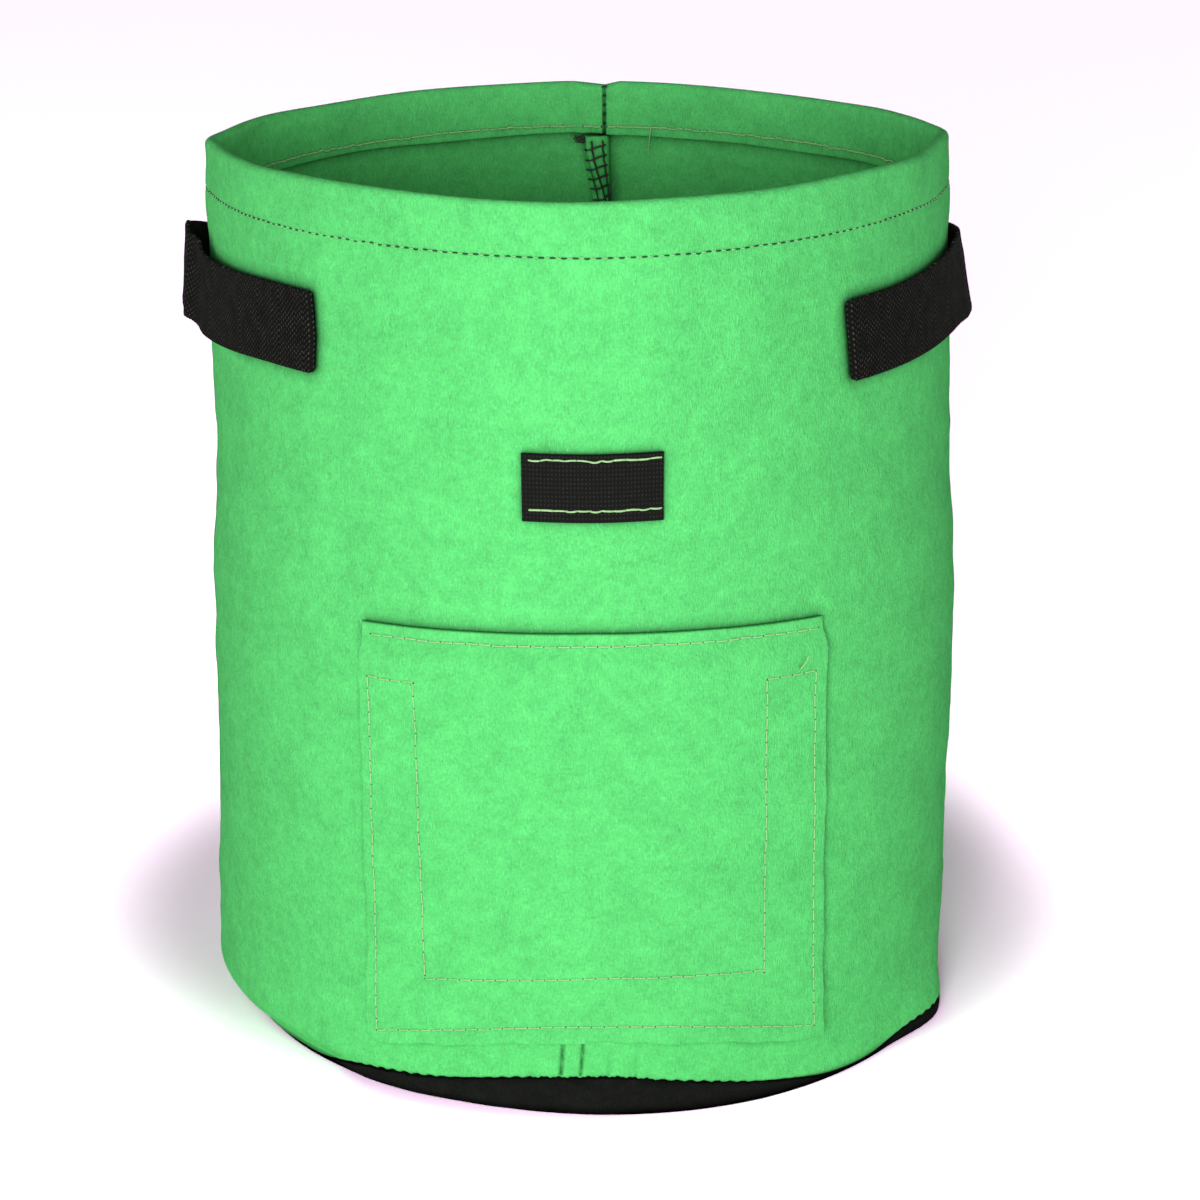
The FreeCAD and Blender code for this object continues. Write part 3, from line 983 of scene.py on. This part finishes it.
def strap_points(across, along, strap):
    """Points of the strap for distances across its width and along its path."""
    plan = strap["plan"]
    alpha, offset, free = (np.interp(along, plan[:, 0], plan[:, k]) for k in (1, 2, 3))
    angle = strap["angle"] + strap["side"] * alpha
    aside = across / (WEBBING_WIDTH / 2)
    scallop = 0.24 * np.sin(along * 2 * math.pi / 1.5) * np.abs(aside) ** 12
    narrow = 1 - 0.07 * np.clip((STRAP_OFFSET - offset) / 1.6, 0, 1)
    width = (across + np.sign(across) * scallop) * narrow
    lift, spread_out = strap["rise"]
    height = strap["height"] + width + lift * bump(alpha, 0, spread_out)
    height = height - 1.6 * bump(alpha, 22, 11) * (spread_out < 20)
    angle = angle + strap["side"] * strap["lean"] * aside * smooth(20, 40, alpha)
    spot = CREASE_SPOT - 0.3 * across
    fold = strap["fold"] * (bump(along, spot, 3.2) - 0.9 * bump(along, spot + 10, 6.5))
    stand = offset - strap["flare"] * free * aside + fold
    stand = stand + 0.35 * free * np.sin(along / 7.0 + across / 9.0)
    return place(wall_radius(angle, height) + stand, angle, height)


def strap_plan(reach):
    """Path of half a strap in plan: from the middle of the loop to the tucked-under end."""
    open_angle = HANDLE_END - SEWN
    rows = []
    for alpha in np.linspace(0, open_angle, 60):
        x = alpha / open_angle
        stand = 0.72 * math.exp(-(alpha / 14.0) ** 2) + 0.28 * (1 - x * x) ** 1.6
        rows.append((alpha, STRAP_OFFSET + (reach - STRAP_OFFSET) * stand, stand))
    for alpha in np.linspace(open_angle, HANDLE_END, 24)[1:]:
        rows.append((alpha, STRAP_OFFSET, 0))
    for turn in np.linspace(0, 180, 11)[1:]:
        t = math.radians(turn)
        bent = HANDLE_END + math.degrees(0.8 * math.sin(t) / RADIUS)
        rows.append((bent, 1.92 + 0.83 * math.cos(t), 0))
    for alpha in np.linspace(HANDLE_END, HANDLE_END - SEWN + 0.8, 22)[1:]:
        rows.append((alpha, 1.1, 0))
    rows = np.array(rows)
    steps = np.hypot(np.diff(rows[:, 0]) * math.radians(1) * (RADIUS + 4), np.diff(rows[:, 1]))
    along = np.concatenate([[0], np.cumsum(steps)])
    return np.column_stack([along, rows])


def make_half_handle(name, strap, nodes):
    side = strap["side"]

    def surface(a, d):
        points = strap_points(a, d, strap)
        step = 0.25
        up = strap_points(a + step, d, strap)
        down = strap_points(a - step, d, strap)
        ahead = strap_points(a, d + step, strap)
        behind = strap_points(a, np.maximum(d - step, 0), strap)
        normal = np.cross(ahead - behind, up - down) * side
        return points, normal / (np.linalg.norm(normal, axis=-1)[..., None] + 1e-12)

    end = strap["plan"][-1, 0]
    tip = end - 0.8 + np.array([0.1, 0.38, 0.58, 0.72, 0.8])
    along = np.concatenate([np.arange(0, end - 0.8, 0.5), tip])
    across = spread(-WEBBING_WIDTH / 2, WEBBING_WIDTH / 2, 1.3, 0.6)
    mesh = sheet_mesh(surface, across, along, WEBBING, 0.6, ends=(False, True))
    if side < 0:
        points, faces, cloth = mesh
        mesh = points, [face[::-1] for face in faces], cloth
    obj = piece(name, *mesh)
    obj.data.materials.append(webbing)
    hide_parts(*nodes)
    joint = strap["angle"] + side * (HANDLE_END - SEWN)
    y = float(place(wall_radius(joint, strap["height"]) + STRAP_OFFSET, joint, 0)[1])
    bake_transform(obj)
    return obj


def make_handles():
    shapes = {
        "left": (-90, 1, 294.8, 9.7, (6.5, 11.0), 1.9, 1.4, -3.0, -0.2),
        "right": (90, -1, 290.3, 6.5, (5.5, 26.0), 2.8, 0.3, -1.5, 0.5),
    }
    for name, (angle, front, height, reach, rise, flare, fold, shift, lean) in shapes.items():
        for place_name, side in (("front", front), ("rear", -front)):
            shown = side == front
            strap = {
                "angle": HANDLE_TURN + angle + side * shift * shown, "side": side,
                "height": height, "rise": rise, "flare": flare, "fold": fold * shown,
                "lean": lean * shown, "plan": strap_plan(reach),
            }
            nodes = [f"{name}_handle_{place_name}_end"]
            if shown:
                nodes.append(f"{name}_handle_loop")
            make_half_handle(f"{name}_handle_{place_name}_half", strap, nodes)


# Stitching

def wall_row(angle, height, offset):
    """Points and normals of a row on the wall."""
    angle, height = np.broadcast_arrays(np.asarray(angle, float), np.asarray(height, float))
    return place(wall_radius(angle, height) + offset, angle, height), radial(angle)


def line(start, end, count=60, bow=0.0):
    """Angles and heights of a nearly straight row between two places."""
    t = np.linspace(0, 1, count)
    angle = start[0] * (1 - t) + end[0] * t
    height = start[1] * (1 - t) + end[1] * t + bow * np.sin(math.pi * t)
    return angle, height


def stitching(name, rows, body, slot, thread):
    """One object of stitches and one of painted shade at the needle holes, from (points, normals,
    pitch, options).

    A row with the option dark puts its stitches with the needle holes, as painted shade.
    """
    threads, marks = [], []
    for seed, (points, normals, pitch, options) in enumerate(rows):
        dark = options.get("dark")
        options = {key: value for key, value in options.items() if key != "dark"}
        some, holes = sewn_row(points, normals, pitch, seed=seed + 11 * len(name), **options)
        marks += some if dark else holes
        threads += [] if dark else some
    finished(piece(name, *join(threads)), thread, body, slot)
    # Dark dots at the needle holes and dark stitches: painted shade.
    marks_name = name.replace("stitching", "painted_stitch_shades")
    finished(piece(marks_name, *join(marks)), painted_stitch_shade, body, "green_felt")


def flap_row(start, end, bow=0.0):
    angle, height = line(start, end, 60, bow)
    return wall_row(angle, height, flap_offset(angle, height) + FELT)


def make_stitching():
    around = SEAM - 360 + np.linspace(0.5, 359.5, 1200)
    points, normals = wall_row(around, HEM_ROW, -0.36)
    # The hem's outer row is dark: painted shade of its stitch holes, drawn with the needle holes.
    rows = [(points, normals, 4.0, {"thick": 0.3, "lift": 0.1, "fill": -0.05, "dark": True})]
    points, normals = wall_row(around + 0.76, HEM_ROW, -0.3)
    rows.append((points, normals, 4.0, {"thick": 0.2, "lift": 0.15, "fill": -0.45, "marks": 0.0}))
    depth = HEM_FELT + hem_bulge(around, HEM_ROW) + 0.1
    inside = place(wall_radius(around, HEM_ROW) - depth, around, HEM_ROW)
    rows.append((inside, -radial(around), 4.0, {"thick": 0.33, "lift": 0.25, "wander": 0.2}))
    hinge = np.array([189.0, 190.2, 190.8, 190.2, 188.6]) - 2.6
    angle = np.linspace(-32.6, 32.6, 80)
    height = np.interp(angle, np.linspace(-32.6, 32.6, 5), hinge) + 1.2
    rows.append((*wall_row(angle, height, FELT + 0.05), 4.8, {"thick": 0.24, "lift": 0.12}))
    stitching("wall_stitching", rows, "root", "green_thread", green_thread)

    fine = {"thick": 0.22, "lift": 0.1}
    rows = []
    for start, end, bow in (
        ((-32.6, 172.3), (-32.5, 31.0), 0), ((-25.4, 172.3), (-24.8, 57.0), 0),
        ((31.4, 172.0), (31.9, 29.2), 0), ((23.6, 172.0), (23.7, 56.0), 0),
        ((-32.6, 172.3), (-25.4, 172.6), 0), ((23.6, 172.4), (31.4, 172.0), 0),
        ((-32.5, 31.0), (31.9, 29.2), 11.6), ((-24.8, 55.6), (23.7, 56.8), 4.6),
    ):
        rows.append((*flap_row(start, end, bow), 4.75, fine))
    stitching("flap_stitching", rows, "flap", "green_thread", green_thread)

    bold = {"thick": 0.36, "lift": 0.3, "wander": 0.28}
    rows = []
    for height in (258.3, 240.0):
        angle, level = line((-9.0, height), (8.7, height + 0.2))
        rows.append((*wall_row(angle, level, 1.86), 4.4, bold))
    thread_only = []
    for seed, (points, normals, pitch, options) in enumerate(rows):
        thread_only += sewn_row(points, normals, pitch, seed=seed + 70, **options)[0]
    finished(piece("keeper_stitching", *join(thread_only)), green_thread, "root", "green_thread")


def make_overlock():
    """Black thread of the back seam: two chains and their rungs over the cut edges."""
    parts = []
    rng = np.random.default_rng(5)
    heights = np.arange(324.0, 20.0, -1.2)
    for reach in (4.6, 9.0):
        wave = 0.15 * np.sin(heights * 1.3)
        parts.append(tube(fin_point(heights, reach + wave, 2.62), 0.42, 5))
        parts.append(tube(fin_point(heights, reach + wave, -2.62), 0.3, 5))
    for height in np.arange(322.0, 22.0, -4.4):
        drop = rng.uniform(0.4, 1.8)
        start = np.array([(height, 3.6, 2.72), (height - drop * 0.4, 6.5, 2.78),
                          (height - drop, 9.4, 2.75), (height - drop - 0.4, 11.2, 2.2)])
        wrap = np.array([(height - drop - 0.6, 11.75, 0.0), (height - drop - 0.7, 11.2, -2.2),
                         (height - drop - 0.9, 9.0, -2.75)])
        path = np.concatenate([start, wrap])
        dense = np.linspace(0, len(path) - 1, 19)
        path = np.stack([np.interp(dense, np.arange(len(path)), path[:, k]) for k in range(3)], -1)
        parts.append(tube(fin_point(path[:, 0], path[:, 1], path[:, 2]), 0.38, 5))
    for height in np.arange(347.5, 327.0, -4.0):
        spot = place(wall_radius(SEAM, height) - HEM_FELT - 0.5, SEAM, height)
        out = radial(SEAM)
        t = np.linspace(-1, 1, 7)[:, None]
        path = spot - out * 0.45 * MM + t * np.array([0.0009, 0, 0.0003]) + out * (t ** 2) * 0.0006
        parts.append(tube(path, 0.4, 6))
    for k in range(5):
        t = np.linspace(0, 1, 30)
        angle = SEAM + 0.6 + 4.2 * t + 0.25 * np.sin(9 * t + k)
        height = HEM_EDGE - 1.2 - 0.9 * k * 0.5 + 0.9 * np.sin(12 * t + 2.1 * k)
        depth = HEM_FELT + 1.1 + 0.5 * np.cos(10 * t + k)
        parts.append(tube(place(wall_radius(angle, height) - depth, angle, height), 0.3, 5))
    finished(piece("back_seam_stitching", *join(parts)), black_thread, "root", "black_thread")


def make_loose_threads():
    t = np.linspace(0, 1, 24)
    angle = SEAM - 7.6 + 0.5 * t
    height = 330 - 11.5 * t
    pale = place(wall_radius(angle, height) - HEM_FELT - 1.0 + 2.2 * t ** 2, angle, height)
    tail_angle = 28.7 + 1.1 * np.sin(2.2 * t)
    tail_height = 174.0 + 9.0 * t
    offset = flap_offset(tail_angle, tail_height) + FELT + 0.4 + 1.0 * np.sin(math.pi * t)
    parts = [tube(pale, 0.22, 5)]
    finished(piece("hem_thread_tail", *join(parts)), green_thread, "root", "green_thread")
    path = place(wall_radius(tail_angle, tail_height) + offset, tail_angle, tail_height)
    finished(piece("flap_thread_tail", *tube(path[: 14], 0.2, 5)), green_thread, "flap", "green_thread")


# Surroundings

# Painted shade: the floor's gain for the camera is lower near the bag and centred behind it, so the
# floor darkens around the bag at its sides and back.
# The floor's gain for the camera, and the distances from the bag's middle where it starts and ends
FLOOR_NEAR = 2.1
FLOOR_FAR = 7.0
FLOOR_START = 0.17
FLOOR_END = 0.27
FLOOR_MIDDLE = (0, 0.07, 0)
FLOOR_TINT = (1.2, 0.9, 1.16)
ZENITH = 0.06
HORIZON = 1.3


def make_stage():
    """White floor that keeps the bag's shadow, with painted shade around the bag, and a dome that is
    white to the camera.
    """
    bpy.ops.mesh.primitive_plane_add(size=14, location=(0, 0, 0))
    floor = bpy.context.object
    floor.name = "floor"
    material, tree, shader = new_material("floor")
    shader.inputs["Base Color"].default_value = (0.9, 0.9, 0.9, 1)
    shader.inputs["Roughness"].default_value = 0.9
    shader.inputs["Specular IOR Level"].default_value = 0.0
    path = node(tree, "ShaderNodeLightPath")
    spot = node(tree, "ShaderNodeTexCoord").outputs["Object"]
    away = node(tree, "ShaderNodeVectorMath", {0: spot, 1: FLOOR_MIDDLE}, operation="DISTANCE")
    # Painted shade: a lower gain near the bag darkens the floor around it.
    gain = node(tree, "ShaderNodeMapRange",
                {0: away.outputs["Value"], 1: FLOOR_START, 2: FLOOR_END,
                 3: FLOOR_NEAR, 4: FLOOR_FAR},
                interpolation_type="SMOOTHSTEP").outputs[0]
    bright = node(tree, "ShaderNodeBsdfDiffuse",
                  {"Color": scaled_colour(tree, FLOOR_TINT, gain)})
    both = node(tree, "ShaderNodeMixShader", {0: path.outputs["Is Camera Ray"],
                                              1: shader.outputs[0], 2: bright.outputs[0]})
    output = next(n for n in tree.nodes if n.type == "OUTPUT_MATERIAL")
    tree.links.new(both.outputs[0], output.inputs["Surface"])
    floor.data.materials.append(material)

    world = bpy.data.worlds.new("world")
    bpy.context.scene.world = world
    world.use_nodes = True
    tree = world.node_tree
    background = tree.nodes["Background"]
    way = node(tree, "ShaderNodeTexCoord").outputs["Generated"]
    up = node(tree, "ShaderNodeSeparateXYZ", {0: way}).outputs[2]
    low = maths(tree, "POWER", maths(tree, "SUBTRACT", 1.0, maths(tree, "MAXIMUM", up, 0.0)), 4.0)
    dome = maths(tree, "MULTIPLY_ADD", low, HORIZON - ZENITH, ZENITH)
    path = node(tree, "ShaderNodeLightPath")
    seen = maths(tree, "MAXIMUM", path.outputs["Is Camera Ray"], path.outputs["Is Glossy Ray"])
    strength = node(tree, "ShaderNodeMix", {0: seen, 2: dome, 3: 1.0}).outputs[0]
    background.inputs["Color"].default_value = (1, 1, 1, 1)
    tree.links.new(strength, background.inputs["Strength"])


def area_light(name, location, target, size, power):
    light = bpy.data.lights.new(name, "AREA")
    light.shape = "DISK"
    light.size = size
    light.energy = power
    obj = bpy.data.objects.new(name, light)
    obj.location = location
    obj.rotation_euler = (Vector(target) - Vector(location)).to_track_quat("-Z", "Y").to_euler()
    bpy.context.scene.collection.objects.link(obj)


# Heading, pitch and roll in degrees, place in metres, and focal length
CAMERA_TURN = (2.018, 17.32, 0.331)
CAMERA_PLACE = (-0.0341, -1.1495, 0.5179)
CAMERA_LENS = 88.05


def make_camera():
    """Camera fitted to the photographed outline."""
    heading, pitch, roll = (math.radians(v) for v in CAMERA_TURN)
    forward = Vector((math.sin(heading) * math.cos(pitch),
                      math.cos(heading) * math.cos(pitch), -math.sin(pitch)))
    level = Vector((math.cos(heading), -math.sin(heading), 0))
    down = forward.cross(level)
    right = level * math.cos(roll) + down * math.sin(roll)
    up = level * math.sin(roll) - down * math.cos(roll)
    data = bpy.data.cameras.new("camera")
    data.sensor_width = 36
    data.lens = CAMERA_LENS
    camera = bpy.data.objects.new("camera", data)
    turned = Matrix((right, up, -forward)).transposed().to_4x4()
    camera.matrix_world = Matrix.Translation(CAMERA_PLACE) @ turned
    bpy.context.scene.collection.objects.link(camera)
    bpy.context.scene.camera = camera


make_camera()
make_wall()
make_fin()
make_base()
make_flap()
make_tapes()
make_keeper()
make_handles()
make_stitching()
make_overlock()
make_loose_threads()
make_stage()
area_light("key", (-0.35, -2.3, 0.5), (0, 0, 0.18), 0.9, 38)
bpy.context.scene.view_settings.view_transform = "Standard"
